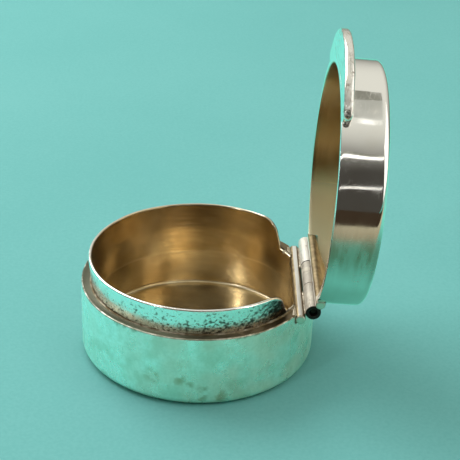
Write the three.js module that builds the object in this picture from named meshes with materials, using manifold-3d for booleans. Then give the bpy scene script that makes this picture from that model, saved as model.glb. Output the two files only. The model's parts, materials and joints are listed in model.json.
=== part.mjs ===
// A round silver pill box with a hinged lid, at its real size in millimetres.
// +Z is up and the origin is the centre of the base. The hinge is on the +X side and runs along Y.
// The lid is drawn closed, then turned about the hinge pin until it stands open on its stop.
import * as THREE from 'three';
import { mergeVertices } from 'three/addons/utils/BufferGeometryUtils.js';
import Module from 'manifold-3d';

const wasm = await Module();
wasm.setup();

// Fits and fineness.
const SOLDER_GAP = 0.03;
const PIN_CLEARANCE = 0.05;
const KNUCKLE_GAP = 0.1;
const CLOSED_GAP = 0.1;
const ROUND_STEPS = 64;
const WIRE_STEPS = 24;
const CORNER_STEPS = 5;
const FILLET_STEPS = 3;
const SCOOP_STEPS = 6;
const RIM_STEPS = 4;
const TAB_EDGE_STEPS = 3;
const FAR = 40;

// Body: a pressed cup with a turned-in shoulder, and the thin liner that the lid closes over.
const BODY_RADIUS = 17;
const SHOULDER_HEIGHT = 11;
const BODY_WALL = 0.8;
const FLOOR_THICKNESS = 0.6;
const FOOT_RADIUS = 1.4;
const FLOOR_FILLET = 0.6;
const SHOULDER_THICKNESS = 0.7;
const SHOULDER_HOLLOW = 0.12;
const SHOULDER_EDGE = 0.2;
const LINER_ROOT_RADIUS = 15.57;
const LINER_RIM_RADIUS = 15.96;
const LINER_WALL = 0.48;
const LINER_BOTTOM = 6.7;
const LINER_TOP = 14.9;

// The liner is scooped down to the shoulder in front of the hinge.
const SCOOP_START = 9.65;
const SCOOP_RADIUS = 2.55;
const SCOOP_SLOPE = 70;

// Lid: a pressed cap, flush with the body when it is closed, with a crescent to lift it by.
const LID_RADIUS = 17.22;
const LID_DEPTH = 6.5;
const LID_WALL = 0.9;
const LID_TOP_THICKNESS = 0.6;
const LID_CORNER = 0.95;
const LID_FILLET = 0.6;
const LID_EDGE = 0.12;
const OPEN_ANGLE = 92.9;
const TAB_THICKNESS = 1.36;
const TAB_RADIUS = 13.35;
const TAB_CENTRE = -8.2;
const TAB_END_ANGLE = 40;
const TAB_ROUNDING = 0.45;

// Hinge: each half has a sloping plate over the notch in its wall, edged with a filed bearer wire.
const HINGE_X = 16.15;
const HINGE_Z = SHOULDER_HEIGHT + CLOSED_GAP / 2;
const KNUCKLE_RADIUS = 1.09;
const PIN_RADIUS = 0.55;
const PIN_RECESS = 0.35;
const KNUCKLE_ENDS = [-9.43, -2.72, 3.57, 10.97];
const BEARER_RADIUS = 0.72;
const BEARER_HALF_LENGTH = 10.3;
const BEARER_BACK = -1.78;
const BEARER_DROP = 0.72;
const PLATE_THICKNESS = 0.46;
const PLATE_SLOPE = THREE.MathUtils.degToRad(40);

// Points on a round stretch of an outline, angles in degrees.
function arc(centreX, centreY, radius, startAngle, endAngle, steps) {
  return Array.from({ length: steps + 1 }, (_, step) => {
    const angle = THREE.MathUtils.degToRad(startAngle + (endAngle - startAngle) * step / steps);
    return [centreX + radius * Math.cos(angle), centreY + radius * Math.sin(angle)];
  });
}

// A closed three.js geometry as a solid that can be cut and joined.
function solid(geometry) {
  geometry.deleteAttribute('normal');
  geometry.deleteAttribute('uv');
  const merged = mergeVertices(geometry);
  const corners = merged.index.array;
  const triangles = [];
  for (let first = 0; first < corners.length; first += 3) {
    const [a, b, c] = corners.slice(first, first + 3);
    if (a !== b && b !== c && c !== a) triangles.push(a, b, c);
  }
  return new wasm.Manifold(new wasm.Mesh({
    numProp: 3,
    vertProperties: new Float32Array(merged.attributes.position.array),
    triVerts: new Uint32Array(triangles),
  }));
}

// A solid turned about Z from an anticlockwise outline of [radius, height] points.
function turned(outline) {
  const points = outline.map(([radius, height]) => new THREE.Vector2(radius, height));
  return solid(new THREE.LatheGeometry(points, ROUND_STEPS).rotateX(Math.PI / 2));
}

function disc(radius, bottom, top) {
  return turned([[0, bottom], [radius, bottom], [radius, top], [0, top]]);
}

// A solid that runs from yMin to yMax, with an outline of [x, z] points.
function bar(outline, yMin, yMax) {
  const shape = new THREE.Shape(outline.map(([x, z]) => new THREE.Vector2(x, z)));
  const geometry = new THREE.ExtrudeGeometry(shape, { depth: yMax - yMin, bevelEnabled: false });
  return solid(geometry.rotateX(Math.PI / 2).translate(0, yMax, 0));
}

// A round rod along Y.
function rod(x, z, radius, yMin, yMax) {
  const geometry = new THREE.CylinderGeometry(radius, radius, yMax - yMin, WIRE_STEPS);
  return solid(geometry.translate(x, (yMin + yMax) / 2, z));
}

// Hinge parts are drawn once, as [x from the hinge, distance from the closing plane]. side is
// -1 for the body's half, which is below that plane, and 1 for the lid's, which is above it.
function hingePoints(points, side) {
  return points.map(([along, away]) => [HINGE_X + along, HINGE_Z + side * away]);
}

// A point of the sloping plate's section: how far it is from the bearer wire's centre down the slope,
// and how far it stands off the plate's middle plane, towards the hinge.
function onPlate(downSlope, standOff) {
  return [
    BEARER_BACK + downSlope * Math.cos(PLATE_SLOPE) + standOff * Math.sin(PLATE_SLOPE),
    BEARER_DROP + downSlope * Math.sin(PLATE_SLOPE) - standOff * Math.cos(PLATE_SLOPE),
  ];
}

// What is cut from a wall to seat the plate and the bearer wire.
function hingeNotch(side) {
  const back = BEARER_BACK - BEARER_RADIUS - SOLDER_GAP;
  const seat = BEARER_DROP + BEARER_RADIUS + SOLDER_GAP;
  const face = -PLATE_THICKNESS / 2 - SOLDER_GAP;
  const seatDownSlope = (seat - onPlate(0, face)[1]) / Math.sin(PLATE_SLOPE);
  const outline = [[back, -FAR], [back, seat], onPlate(seatDownSlope, face), onPlate(FAR, face), [FAR, -FAR]];
  return bar(hingePoints(outline, side), -FAR, FAR);
}

function hingePlate(side, radius) {
  const start = BEARER_RADIUS + SOLDER_GAP;
  const half = PLATE_THICKNESS / 2;
  const outline = [onPlate(start, -half), onPlate(FAR, -half), onPlate(FAR, half), onPlate(start, half)];
  return bar(hingePoints(outline, side), -FAR, FAR).intersect(disc(radius, -FAR, FAR));
}

function hingeBearer(side) {
  const [[x, z]] = hingePoints([[BEARER_BACK, BEARER_DROP]], side);
  const wire = rod(x, z, BEARER_RADIUS, -BEARER_HALF_LENGTH, BEARER_HALF_LENGTH);
  const filedOff = [[-FAR, -FAR], [FAR, -FAR], [FAR, CLOSED_GAP / 2], [-FAR, CLOSED_GAP / 2]];
  return wire.subtract(bar(hingePoints(filedOff, side), -FAR, FAR));
}

function hingeKnuckle(position) {
  const yMin = KNUCKLE_ENDS[position] + (position > 0 ? KNUCKLE_GAP / 2 : 0);
  const yMax = KNUCKLE_ENDS[position + 1] - (position < 2 ? KNUCKLE_GAP / 2 : 0);
  const bore = rod(HINGE_X, HINGE_Z, PIN_RADIUS + PIN_CLEARANCE, -FAR, FAR);
  return rod(HINGE_X, HINGE_Z, KNUCKLE_RADIUS, yMin, yMax).subtract(bore);
}

function hingePin() {
  const [yMin, , , yMax] = KNUCKLE_ENDS;
  return rod(HINGE_X, HINGE_Z, PIN_RADIUS, yMin + PIN_RECESS, yMax - PIN_RECESS);
}

function bodyCup() {
  const inside = BODY_RADIUS - BODY_WALL;
  const lip = LINER_ROOT_RADIUS + SOLDER_GAP;
  const shoulderMiddle = (lip + BODY_RADIUS) / 2;
  const outline = [
    [0, 0],
    ...arc(BODY_RADIUS - FOOT_RADIUS, FOOT_RADIUS, FOOT_RADIUS, -90, 0, CORNER_STEPS),
    [BODY_RADIUS, SHOULDER_HEIGHT - SHOULDER_EDGE],
    [BODY_RADIUS - SHOULDER_EDGE, SHOULDER_HEIGHT],
    [shoulderMiddle, SHOULDER_HEIGHT - SHOULDER_HOLLOW],
    [lip, SHOULDER_HEIGHT - SHOULDER_HOLLOW / 2],
    [lip, SHOULDER_HEIGHT - SHOULDER_THICKNESS],
    [inside, SHOULDER_HEIGHT - SHOULDER_THICKNESS],
    ...arc(inside - FLOOR_FILLET, FLOOR_THICKNESS + FLOOR_FILLET, FLOOR_FILLET, 0, -90, FILLET_STEPS),
    [0, FLOOR_THICKNESS],
  ];
  return turned(outline).subtract(hingeNotch(-1));
}

// What is cut from the liner: a rounded shoulder, a steep slope, then all above the closing plane.
function linerScoop() {
  const curve = arc(SCOOP_START, LINER_TOP - SCOOP_RADIUS, SCOOP_RADIUS, 90, 90 - SCOOP_SLOPE, SCOOP_STEPS);
  const [curveEndX, curveEndZ] = curve[curve.length - 1];
  const slopeRun = (curveEndZ - SHOULDER_HEIGHT) / Math.tan(THREE.MathUtils.degToRad(SCOOP_SLOPE));
  const outline = [
    ...curve,
    [curveEndX + slopeRun, SHOULDER_HEIGHT],
    [FAR, SHOULDER_HEIGHT],
    [FAR, FAR],
    [SCOOP_START, FAR],
  ];
  return bar(outline, -FAR, FAR);
}

function bezelLiner() {
  const rimHalf = LINER_WALL / 2;
  const rimMiddle = LINER_RIM_RADIUS - rimHalf;
  const outline = [
    [LINER_ROOT_RADIUS - LINER_WALL, LINER_BOTTOM],
    [LINER_ROOT_RADIUS, LINER_BOTTOM],
    [LINER_ROOT_RADIUS, SHOULDER_HEIGHT],
    ...arc(rimMiddle, LINER_TOP - rimHalf, rimHalf, 0, 180, RIM_STEPS),
    [LINER_ROOT_RADIUS - LINER_WALL, SHOULDER_HEIGHT],
    [LINER_ROOT_RADIUS - LINER_WALL, LINER_BOTTOM],
  ];
  return turned(outline).subtract(linerScoop()).subtract(hingeNotch(-1));
}

function lidShell() {
  const mouth = SHOULDER_HEIGHT + CLOSED_GAP;
  const top = mouth + LID_DEPTH;
  const inside = LID_RADIUS - LID_WALL;
  const ceiling = top - LID_TOP_THICKNESS;
  const outline = [
    [0, ceiling],
    ...arc(inside - LID_FILLET, ceiling - LID_FILLET, LID_FILLET, 90, 0, FILLET_STEPS),
    [inside, mouth + LID_EDGE],
    [inside + LID_EDGE, mouth],
    [LID_RADIUS - LID_EDGE, mouth],
    [LID_RADIUS, mouth + LID_EDGE],
    ...arc(LID_RADIUS - LID_CORNER, top - LID_CORNER, LID_CORNER, 0, 90, CORNER_STEPS),
    [0, top],
  ];
  return turned(outline).subtract(hingeNotch(1));
}

// A flat crescent with a rounded edge, seated on the lid's wall opposite the hinge. Its blunt ends lie
// on lines from the middle of the lid.
function thumbTab() {
  const mouth = SHOULDER_HEIGHT + CLOSED_GAP;
  const endAngle = THREE.MathUtils.degToRad(TAB_END_ANGLE);
  const endLean = Math.asin(TAB_CENTRE * Math.sin(endAngle) / TAB_RADIUS);
  const sweep = THREE.MathUtils.radToDeg(endAngle - endLean);
  const outline = [
    ...arc(TAB_CENTRE, 0, TAB_RADIUS, 180 - sweep, 180 + sweep, ROUND_STEPS / 2),
    ...arc(0, 0, LID_RADIUS - LID_WALL, 180 + TAB_END_ANGLE, 180 - TAB_END_ANGLE, 1),
  ];
  const shape = new THREE.Shape(outline.map(([x, y]) => new THREE.Vector2(x, y)));
  const geometry = new THREE.ExtrudeGeometry(shape, {
    depth: TAB_THICKNESS - 2 * TAB_ROUNDING,
    bevelThickness: TAB_ROUNDING,
    bevelSize: TAB_ROUNDING,
    bevelOffset: -TAB_ROUNDING,
    bevelSegments: TAB_EDGE_STEPS,
  });
  const plate = solid(geometry.translate(0, 0, mouth + TAB_ROUNDING));
  return plate.subtract(disc(LID_RADIUS + SOLDER_GAP, 0, FAR));
}

const polishedSilver = { color: 0xdcdad4, metalness: 1, roughness: 0.18 };
const satinSilver = { color: 0xcfcdc6, metalness: 1, roughness: 0.35 };
const giltSilver = { color: 0xb9a06c, metalness: 1, roughness: 0.35 };
const greySilver = { color: 0xbdbab3, metalness: 1, roughness: 0.45 };

function named(name, part, finish) {
  const { vertProperties, triVerts } = part.getMesh();
  const geometry = new THREE.BufferGeometry();
  geometry.setAttribute('position', new THREE.BufferAttribute(vertProperties, 3));
  geometry.setIndex(new THREE.BufferAttribute(triVerts, 1));
  geometry.computeVertexNormals();
  const mesh = new THREE.Mesh(geometry, new THREE.MeshStandardMaterial(finish));
  mesh.name = name;
  return mesh;
}

function body() {
  return new THREE.Group().add(
    named('body_cup', bodyCup(), satinSilver),
    named('bezel_liner', bezelLiner(), giltSilver),
    named('body_hinge_plate', hingePlate(-1, BODY_RADIUS), greySilver),
    named('body_hinge_bearer', hingeBearer(-1), polishedSilver),
    named('front_body_knuckle', hingeKnuckle(0), satinSilver),
    named('rear_body_knuckle', hingeKnuckle(2), satinSilver),
    named('hinge_pin', hingePin(), greySilver),
  );
}

// The lid's pieces are drawn closed, so the turned group holds them about the hinge.
function lid() {
  const pieces = new THREE.Group().add(
    named('lid_shell', lidShell(), polishedSilver),
    named('lid_hinge_plate', hingePlate(1, LID_RADIUS), giltSilver),
    named('lid_hinge_bearer', hingeBearer(1), polishedSilver),
    named('lid_knuckle', hingeKnuckle(1), satinSilver),
    named('thumb_tab', thumbTab(), polishedSilver),
  );
  pieces.position.set(-HINGE_X, 0, -HINGE_Z);
  const turning = new THREE.Group().add(pieces);
  turning.position.set(HINGE_X, 0, HINGE_Z);
  turning.rotation.y = THREE.MathUtils.degToRad(OPEN_ANGLE);
  return turning;
}

const pillBox = new THREE.Group().add(body(), lid());
pillBox.name = 'pill_box';

export default pillBox;
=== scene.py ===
# Looks for a round silver pill box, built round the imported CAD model.
# Sizes are in millimetres. X grows towards the hinge and Y towards the back.
# The lid's pieces are drawn closed, then turned open about the hinge pin.
import json
import math
import bmesh
import bpy
import numpy as np
from mathutils import Matrix, Vector, noise


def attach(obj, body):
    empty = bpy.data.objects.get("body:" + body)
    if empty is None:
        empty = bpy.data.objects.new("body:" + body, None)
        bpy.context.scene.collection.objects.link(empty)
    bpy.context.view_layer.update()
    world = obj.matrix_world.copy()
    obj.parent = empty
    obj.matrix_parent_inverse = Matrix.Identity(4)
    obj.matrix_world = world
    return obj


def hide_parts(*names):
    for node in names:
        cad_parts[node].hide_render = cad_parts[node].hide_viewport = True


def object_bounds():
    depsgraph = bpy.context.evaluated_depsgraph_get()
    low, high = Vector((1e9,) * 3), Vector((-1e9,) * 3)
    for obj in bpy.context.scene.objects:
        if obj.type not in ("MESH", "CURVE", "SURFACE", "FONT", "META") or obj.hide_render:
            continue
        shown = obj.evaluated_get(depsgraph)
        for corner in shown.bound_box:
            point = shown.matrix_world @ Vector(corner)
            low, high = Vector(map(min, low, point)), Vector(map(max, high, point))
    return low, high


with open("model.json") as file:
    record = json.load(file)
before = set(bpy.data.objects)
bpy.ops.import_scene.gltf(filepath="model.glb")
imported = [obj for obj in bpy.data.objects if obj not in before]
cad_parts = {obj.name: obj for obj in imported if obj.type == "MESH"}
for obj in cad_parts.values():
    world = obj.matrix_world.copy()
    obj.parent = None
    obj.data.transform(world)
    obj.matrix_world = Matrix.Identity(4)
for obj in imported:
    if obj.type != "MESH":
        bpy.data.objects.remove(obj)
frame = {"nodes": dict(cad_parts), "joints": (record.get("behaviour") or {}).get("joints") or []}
cad_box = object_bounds()

# Without a seed, noise_vector differs from run to run.
NOISE_SEED = 1
noise.seed_set(NOISE_SEED)

MM = 0.001
WHOLE_TURN = 2 * math.pi

# The hinge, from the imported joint.
JOINT = frame["joints"][0]
HINGE_X = JOINT["pos_m"][0] / MM
HINGE_Z = JOINT["pos_m"][2] / MM
OPEN_ANGLE = math.radians(JOINT["range_deg"][1])
HINGE = Vector((HINGE_X, 0, HINGE_Z)) * MM
OPENING = Matrix.Translation(HINGE) @ Matrix.Rotation(OPEN_ANGLE, 4, "Y") @ Matrix.Translation(-HINGE)


def corners(node, turn=Matrix.Identity(4)):
    """The lowest and highest corner of a CAD node in millimetres, after a turn."""
    points = np.array([turn @ vertex.co for vertex in frame["nodes"][node].data.vertices])
    return points.min(0) / MM, points.max(0) / MM


# Sizes read from the CAD nodes.
cup_low, cup_high = corners("body_cup")
liner_low, liner_high = corners("bezel_liner")
lid_low, lid_high = corners("lid_shell", OPENING.inverted())
tab_low, tab_high = corners("thumb_tab", OPENING.inverted())
bearer_low, bearer_high = corners("body_hinge_bearer")
pin_low, pin_high = corners("hinge_pin")
knuckle_low, knuckle_high = corners("front_body_knuckle")
BODY_RADIUS = -cup_low[0]
SHOULDER = cup_high[2]
RIM_RADIUS = -liner_low[0]
LINER_BOTTOM = liner_low[2]
LINER_TOP = liner_high[2]
LID_RADIUS = lid_high[1]
LID_MOUTH = lid_low[2]
LID_TOP = lid_high[2]
TAB_REACH = -tab_low[0]
TAB_THICKNESS = tab_high[2] - tab_low[2]
BEARER_RADIUS = (bearer_high[0] - bearer_low[0]) / 2
BEARER_HALF_LENGTH = bearer_high[1]
BEARER_BACK = (bearer_high[0] + bearer_low[0]) / 2 - HINGE_X
BEARER_DROP = HINGE_Z - bearer_low[2] - BEARER_RADIUS
KNUCKLE_RADIUS = (knuckle_high[0] - knuckle_low[0]) / 2
PIN_RADIUS = (pin_high[0] - pin_low[0]) / 2

# Sheet thicknesses, corners and gaps.
SEAM = 0.03
CUP_WALL = 0.8
CUP_FLOOR = 0.6
FOOT_RADIUS = 1.4
FLOOR_FILLET = 0.6
SHOULDER_THICKNESS = 0.7
SHOULDER_HOLLOW = 0.12
HOLLOW_SPREAD = 1.6
LIP_DIP = 0.8 * SHOULDER_HOLLOW
GILT_DROP = 0.4
SHOULDER_EDGE = 0.2
LINER_ROOT = RIM_RADIUS - 0.39
LINER_WALL = 0.48
LINER_CHAMFER = 0.1
RIM_WEAR = 0.03
WORN_ABOVE = 0.2
STEEPEST_CAP = 2.5
SCOOP_START = 9.65
SCOOP_END = 13.4
SCOOP_RADIUS = 2.55
SCOOP_SLOPE = math.radians(70)
LID_WALL = 0.9
LID_TOP_THICKNESS = 0.6
LID_CORNER = 0.95
LID_FILLET = 0.6
LID_EDGE = 0.12
TAB_CENTRE = 8.2
TAB_END = math.radians(40)
TAB_ROUNDING = 0.45
PLATE_THICKNESS = 0.46
PLATE_SLOPE = math.radians(40)
PIN_CLEARANCE = 0.05
PIN_DOME = 0.18
BEARER_DOME = 0.35
CLOSED_GAP = LID_MOUTH - SHOULDER

# How far the liner's zones of wear and dirt reach, and its painted highlight along the lower edge.
RIM_DEPTH = 0.45
RIM_START = 0.8
HINGE_END_START = -12
HINGE_END_LENGTH = 25
ROOT_HEIGHT = 3.4
LOWER_EDGE = 0.25

# Beads of solder: how uneven they are, how close their lumps are and how finely they are drawn.
LUMPINESS = 0.7
LUMP_FINENESS = 2.3
SOLDER_GRAIN = 0.05
WIRE_BEAD = 0.27
BARREL_BEAD = 0.2
LID_BEAD = 0.15
LID_SEAM_END = 7.2

# How far off a rounded corner the straight stretch beside it starts.
CLEARLY_OFF = 0.5
JUST_OFF = 0.3

# How finely shapes are drawn, what counts as touching, and how far cutters reach.
ROUND_STEPS = 288
ROUND_ANGLES = np.linspace(0, WHOLE_TURN, ROUND_STEPS, endpoint=False)
SHARP_ANGLE = math.radians(38)
TOUCHING = 2e-4
SLIVER = 1e-4
FAR = 40

# Which side of the plane where the hinge's halves meet each body is on.
SIDES = {"body": -1, "lid": 1}


# -------- outlines and skins

def arc(centre_x, centre_y, radius, start, end, steps):
    """Points on a round stretch of an outline, angles in degrees."""
    angles = np.radians(np.linspace(start, end, steps + 1))
    return [(centre_x + radius * math.cos(a), centre_y + radius * math.sin(a)) for a in angles]


def line(start, end, steps):
    """Points evenly spaced from start towards end, without the end itself."""
    start, end = np.array(start), np.array(end)
    return [tuple(start + (end - start) * step / steps) for step in range(steps)]


def turned(outline, angles=ROUND_ANGLES):
    """Rows of points for an outline of (radius, height) turned about Z. Both may vary with the angle."""
    rows = []
    for radius, height in outline:
        x, y = radius * np.cos(angles), radius * np.sin(angles)
        rows.append(np.stack([x, y, height + 0 * angles], axis=-1))
    return np.array(rows)


def skin(rows, loop_rows, loop_columns):
    """Vertices and four-sided faces over equal rows of points."""
    count, width = rows.shape[:2]
    faces = []
    for row in range(count if loop_rows else count - 1):
        first = row * width
        second = (row + 1) % count * width
        for column in range(width if loop_columns else width - 1):
            across = (column + 1) % width
            faces.append((first + column, first + across, second + across, second + column))
    return rows.reshape(-1, 3), faces


def hand_made(points, size, depth, seed):
    """The same points moved a little, together, so that sheet metal isn't perfectly even."""
    shift = Vector((seed * 17.3, seed * 5.1, seed * 9.7))
    return np.array([Vector(p) + depth * noise.noise_vector(Vector(p) / size + shift) for p in points])


def placed(name, data):
    """A new object in the scene."""
    made = bpy.data.objects.new(name, data)
    bpy.context.scene.collection.objects.link(made)
    return made


def new_object(name, points, faces):
    """A closed mesh object from points in millimetres. Points that coincide are joined."""
    mesh = bpy.data.meshes.new(name)
    mesh.from_pydata([tuple(p) for p in np.array(points) * MM], [], faces)
    work = bmesh.new()
    work.from_mesh(mesh)
    bmesh.ops.remove_doubles(work, verts=work.verts, dist=TOUCHING * MM)
    bmesh.ops.dissolve_degenerate(work, edges=work.edges, dist=SLIVER * MM)
    bmesh.ops.recalc_face_normals(work, faces=work.faces)
    work.to_mesh(mesh)
    work.free()
    return placed(name, mesh)


def settle(made):
    """Turns an object's modifiers into its mesh."""
    seen = made.evaluated_get(bpy.context.evaluated_depsgraph_get())
    made.data = bpy.data.meshes.new_from_object(seen)
    made.modifiers.clear()


def cut(made, cutter):
    """Takes the cutter's solid out of an object."""
    modifier = made.modifiers.new("cut", "BOOLEAN")
    modifier.operation = "DIFFERENCE"
    modifier.solver = "MANIFOLD"
    modifier.object = cutter
    settle(made)


def from_axis(place):
    """How far points are from the box's axis."""
    return np.hypot(place[:, 0], place[:, 1])


def zones(made, **rules):
    """Values at each vertex, from rules on its place and its normal, that the materials read by name."""
    mesh = made.data
    places = np.empty(len(mesh.vertices) * 3)
    mesh.vertices.foreach_get("co", places)
    normals = np.empty(len(mesh.vertices) * 3)
    mesh.vertices.foreach_get("normal", normals)
    for name, rule in rules.items():
        values = rule(places.reshape(-1, 3) / MM, normals.reshape(-1, 3))
        attribute = mesh.attributes.new(name, "FLOAT", "POINT")
        attribute.data.foreach_set("value", np.clip(values, 0, 1).astype(np.float32))


def settle_in(made, body, slot, material, *nodes):
    """Shades a piece and gives it its material, puts it on the body it rides on, and hides the CAD nodes
    it stands for. slot is not used.
    """
    made.data.shade_smooth()
    made.data.set_sharp_from_angle(angle=SHARP_ANGLE)
    made.data.materials.clear()
    made.data.materials.append(material)
    if body == "lid":
        made.matrix_world = OPENING
    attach(made, body)
    if nodes:
        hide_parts(*nodes)
    return made


# -------- hinge outlines

def hinge_place(along, away, body):
    """x and z of a point of the hinge, from how far it is along from the pin and away from the plane
    where the halves meet."""
    return HINGE_X + along, HINGE_Z + SIDES[body] * away


def on_plate(down_slope, stand_off):
    """Along and away of a point of the sloping plate's section."""
    along = BEARER_BACK + down_slope * math.cos(PLATE_SLOPE) + stand_off * math.sin(PLATE_SLOPE)
    away = BEARER_DROP + down_slope * math.sin(PLATE_SLOPE) - stand_off * math.cos(PLATE_SLOPE)
    return along, away


def notch_cutter(body):
    """The solid that is cut from a wall to seat the plate and the bearer wire."""
    back = BEARER_BACK - BEARER_RADIUS - SEAM
    seat = BEARER_DROP + BEARER_RADIUS + SEAM
    face = -PLATE_THICKNESS / 2 - SEAM
    seat_end = (seat - on_plate(0, face)[1]) / math.sin(PLATE_SLOPE)
    section = [(back, -FAR), (back, seat), on_plate(seat_end, face), on_plate(FAR, face), (FAR, -FAR)]
    ends = []
    for y in (-FAR, FAR):
        ends.append([(x, y, z) for x, z in (hinge_place(along, away, body) for along, away in section)])
    count = len(section)
    faces = [(i, (i + 1) % count, count + (i + 1) % count, count + i) for i in range(count)]
    faces += [tuple(range(count)), tuple(range(count, 2 * count))]
    return new_object("cutter", np.array(ends).reshape(-1, 3), faces)


def cut_notch(made, body):
    """Cuts the seat for the plate and the bearer wire, and removes the cutter."""
    cutter = notch_cutter(body)
    cut(made, cutter)
    bpy.data.objects.remove(cutter)


# -------- body

def cup_outline():
    """The cup's section, from the middle of its base outside round to the middle of its floor."""
    inside = BODY_RADIUS - CUP_WALL
    lip = LINER_ROOT + SEAM
    outer = BODY_RADIUS - SHOULDER_EDGE
    ledge = []
    for share in np.arange(1, 10) / 10:
        dip = SHOULDER_HOLLOW * math.sin(math.pi * (share / HOLLOW_SPREAD))
        ledge.append((outer + (lip - outer) * share, SHOULDER - dip))
    return [
        *line((0, 0), (BODY_RADIUS - FOOT_RADIUS, 0), 12),
        *arc(BODY_RADIUS - FOOT_RADIUS, FOOT_RADIUS, FOOT_RADIUS, -90, 0, 14),
        *line((BODY_RADIUS, FOOT_RADIUS + CLEARLY_OFF), (BODY_RADIUS, SHOULDER - SHOULDER_EDGE), 12),
        *arc(outer, SHOULDER - SHOULDER_EDGE, SHOULDER_EDGE, 0, 90, 6),
        *ledge,
        (lip, SHOULDER - LIP_DIP),
        (lip, SHOULDER - SHOULDER_THICKNESS),
        (inside, SHOULDER - SHOULDER_THICKNESS),
        *line((inside, SHOULDER - SHOULDER_THICKNESS - JUST_OFF), (inside, CUP_FLOOR + FLOOR_FILLET), 10),
        *arc(inside - FLOOR_FILLET, CUP_FLOOR + FLOOR_FILLET, FLOOR_FILLET, 0, -90, 7),
        *line((inside - FLOOR_FILLET - CLEARLY_OFF, CUP_FLOOR), (0, CUP_FLOOR), 16),
        (0, CUP_FLOOR),
    ]


def make_cup(material):
    """The pressed cup, gilt inside, with a ledge that is dirtier towards the liner."""
    points, faces = skin(turned(cup_outline()), False, True)
    points = hand_made(points, 6.0, 0.03, 1)
    points[:, 2] = np.maximum(points[:, 2], 0)
    made = new_object("silver_cup", points, faces)
    cut_notch(made, "body")
    ledge_start = BODY_RADIUS - SHOULDER_EDGE
    ledge_dirt = 0.42

    def gilt(place, normal):
        in_wall = from_axis(place) < BODY_RADIUS - CUP_WALL / 2
        above_base = place[:, 2] > CUP_FLOOR / 2
        below_shoulder = place[:, 2] < SHOULDER - GILT_DROP
        return (in_wall & above_base & below_shoulder).astype(float)

    def ledge(place, normal):
        share = (ledge_start - from_axis(place)) / (ledge_start - LINER_ROOT)
        return np.where(place[:, 2] > SHOULDER - SHOULDER_EDGE, share + ledge_dirt, 0)

    zones(made, gilt=gilt, ledge=ledge)
    return settle_in(made, "body", "satin_silver", material, "body_cup")


def liner_radius(height):
    """The liner's outside radius: straight inside the cup, then flaring to its rim."""
    flare = np.clip((height - SHOULDER) / (LINER_TOP - SHOULDER), 0, None)
    return LINER_ROOT + (RIM_RADIUS - LINER_ROOT) * flare


def rim_height(x):
    """How high the liner stands at x: level, then scooped down to the shoulder before the hinge."""
    curve_end = SCOOP_START + SCOOP_RADIUS * math.sin(SCOOP_SLOPE)
    curve_drop = SCOOP_RADIUS * (1 - math.cos(SCOOP_SLOPE))
    along = np.clip(x - SCOOP_START, 0, SCOOP_RADIUS * math.sin(SCOOP_SLOPE))
    curve = SCOOP_RADIUS - np.sqrt(SCOOP_RADIUS ** 2 - along ** 2)
    slope = np.clip(x - curve_end, 0, None) * math.tan(SCOOP_SLOPE)
    return np.clip(LINER_TOP - np.minimum(curve, curve_drop) - slope, SHOULDER, LINER_TOP)


def rim_angles():
    """Angles round the liner, closer together where its rim dips."""
    dip_end = math.acos(SCOOP_END / LINER_ROOT)
    dip_start = math.acos((SCOOP_START - 0.6) / RIM_RADIUS)
    half = np.concatenate([
        np.linspace(0, dip_end, 20, endpoint=False),
        np.linspace(dip_end, dip_start, 90, endpoint=False),
        np.linspace(dip_start, math.pi, 110, endpoint=False),
    ])
    return np.concatenate([half, WHOLE_TURN - half[:0:-1], [math.pi]])


def uneven(angles, level, fineness):
    """Noise round the box, about -1 to 1, that closes up after a whole turn."""
    return np.array([noise.noise(Vector((math.cos(a), math.sin(a), level)) * fineness) for a in angles])


def liner_outline(angles):
    """The liner's section at each angle, up its outside, over its rounded rim and down its inside."""
    top = rim_height(RIM_RADIUS * np.cos(angles))
    top = top + RIM_WEAR * uneven(angles, 0.5, 9) * (top > SHOULDER + WORN_ABOVE)
    run = RIM_RADIUS * np.gradient(angles)
    steep = np.sqrt(1 + (np.gradient(top) / run) ** 2)
    half_wall = LINER_WALL / 2
    cap_start = top - half_wall * np.minimum(steep, STEEPEST_CAP)
    wall_start = LINER_BOTTOM + LINER_CHAMFER
    heights = [wall_start + share * (cap_start - wall_start) for share in np.linspace(0, 1, 26)]
    middle = liner_radius(cap_start) - half_wall
    cap = []
    for turn in np.radians(np.linspace(0, 180, 11))[1:-1]:
        cap.append((middle + half_wall * math.cos(turn), cap_start + (top - cap_start) * math.sin(turn)))
    return [
        *[(liner_radius(height), height) for height in heights],
        *cap,
        *[(liner_radius(height) - LINER_WALL, height) for height in heights[::-1]],
        (LINER_ROOT - LINER_WALL + LINER_CHAMFER, LINER_BOTTOM),
        (LINER_ROOT - LINER_CHAMFER, LINER_BOTTOM),
    ]


def make_liner(material):
    """The thin liner, gilt inside, with the zones that its dirt, its bare rim and its painted edge
    highlight follow.
    """
    angles = np.sort(rim_angles())
    points, faces = skin(turned(liner_outline(angles), angles), True, True)
    made = new_object("gilt_liner", hand_made(points, 5.0, 0.03, 2), faces)
    cut_notch(made, "body")

    def gilt(place, normal):
        return (liner_radius(place[:, 2]) - from_axis(place)) / LINER_WALL * 2 - 0.7

    def rim(place, normal):
        radius = from_axis(place)
        below_rim = rim_height(place[:, 0] / radius * RIM_RADIUS) - place[:, 2]
        return (1 - below_rim / RIM_DEPTH) * np.clip((place[:, 2] - SHOULDER) / RIM_START, 0, 1)

    def hinge_end(place, normal):
        return (place[:, 0] - HINGE_END_START) / HINGE_END_LENGTH

    def root(place, normal):
        return 1 - (place[:, 2] - SHOULDER) / ROOT_HEIGHT

    # A painted highlight along the liner's lower edge.
    def lower_edge(place, normal):
        return 1 - (place[:, 2] - LINER_BOTTOM) / LOWER_EDGE

    zones(made, gilt=gilt, rim=rim, hinge_end=hinge_end, root=root, lower_edge=lower_edge)
    return settle_in(made, "body", "gilt_silver", material, "bezel_liner")


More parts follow.
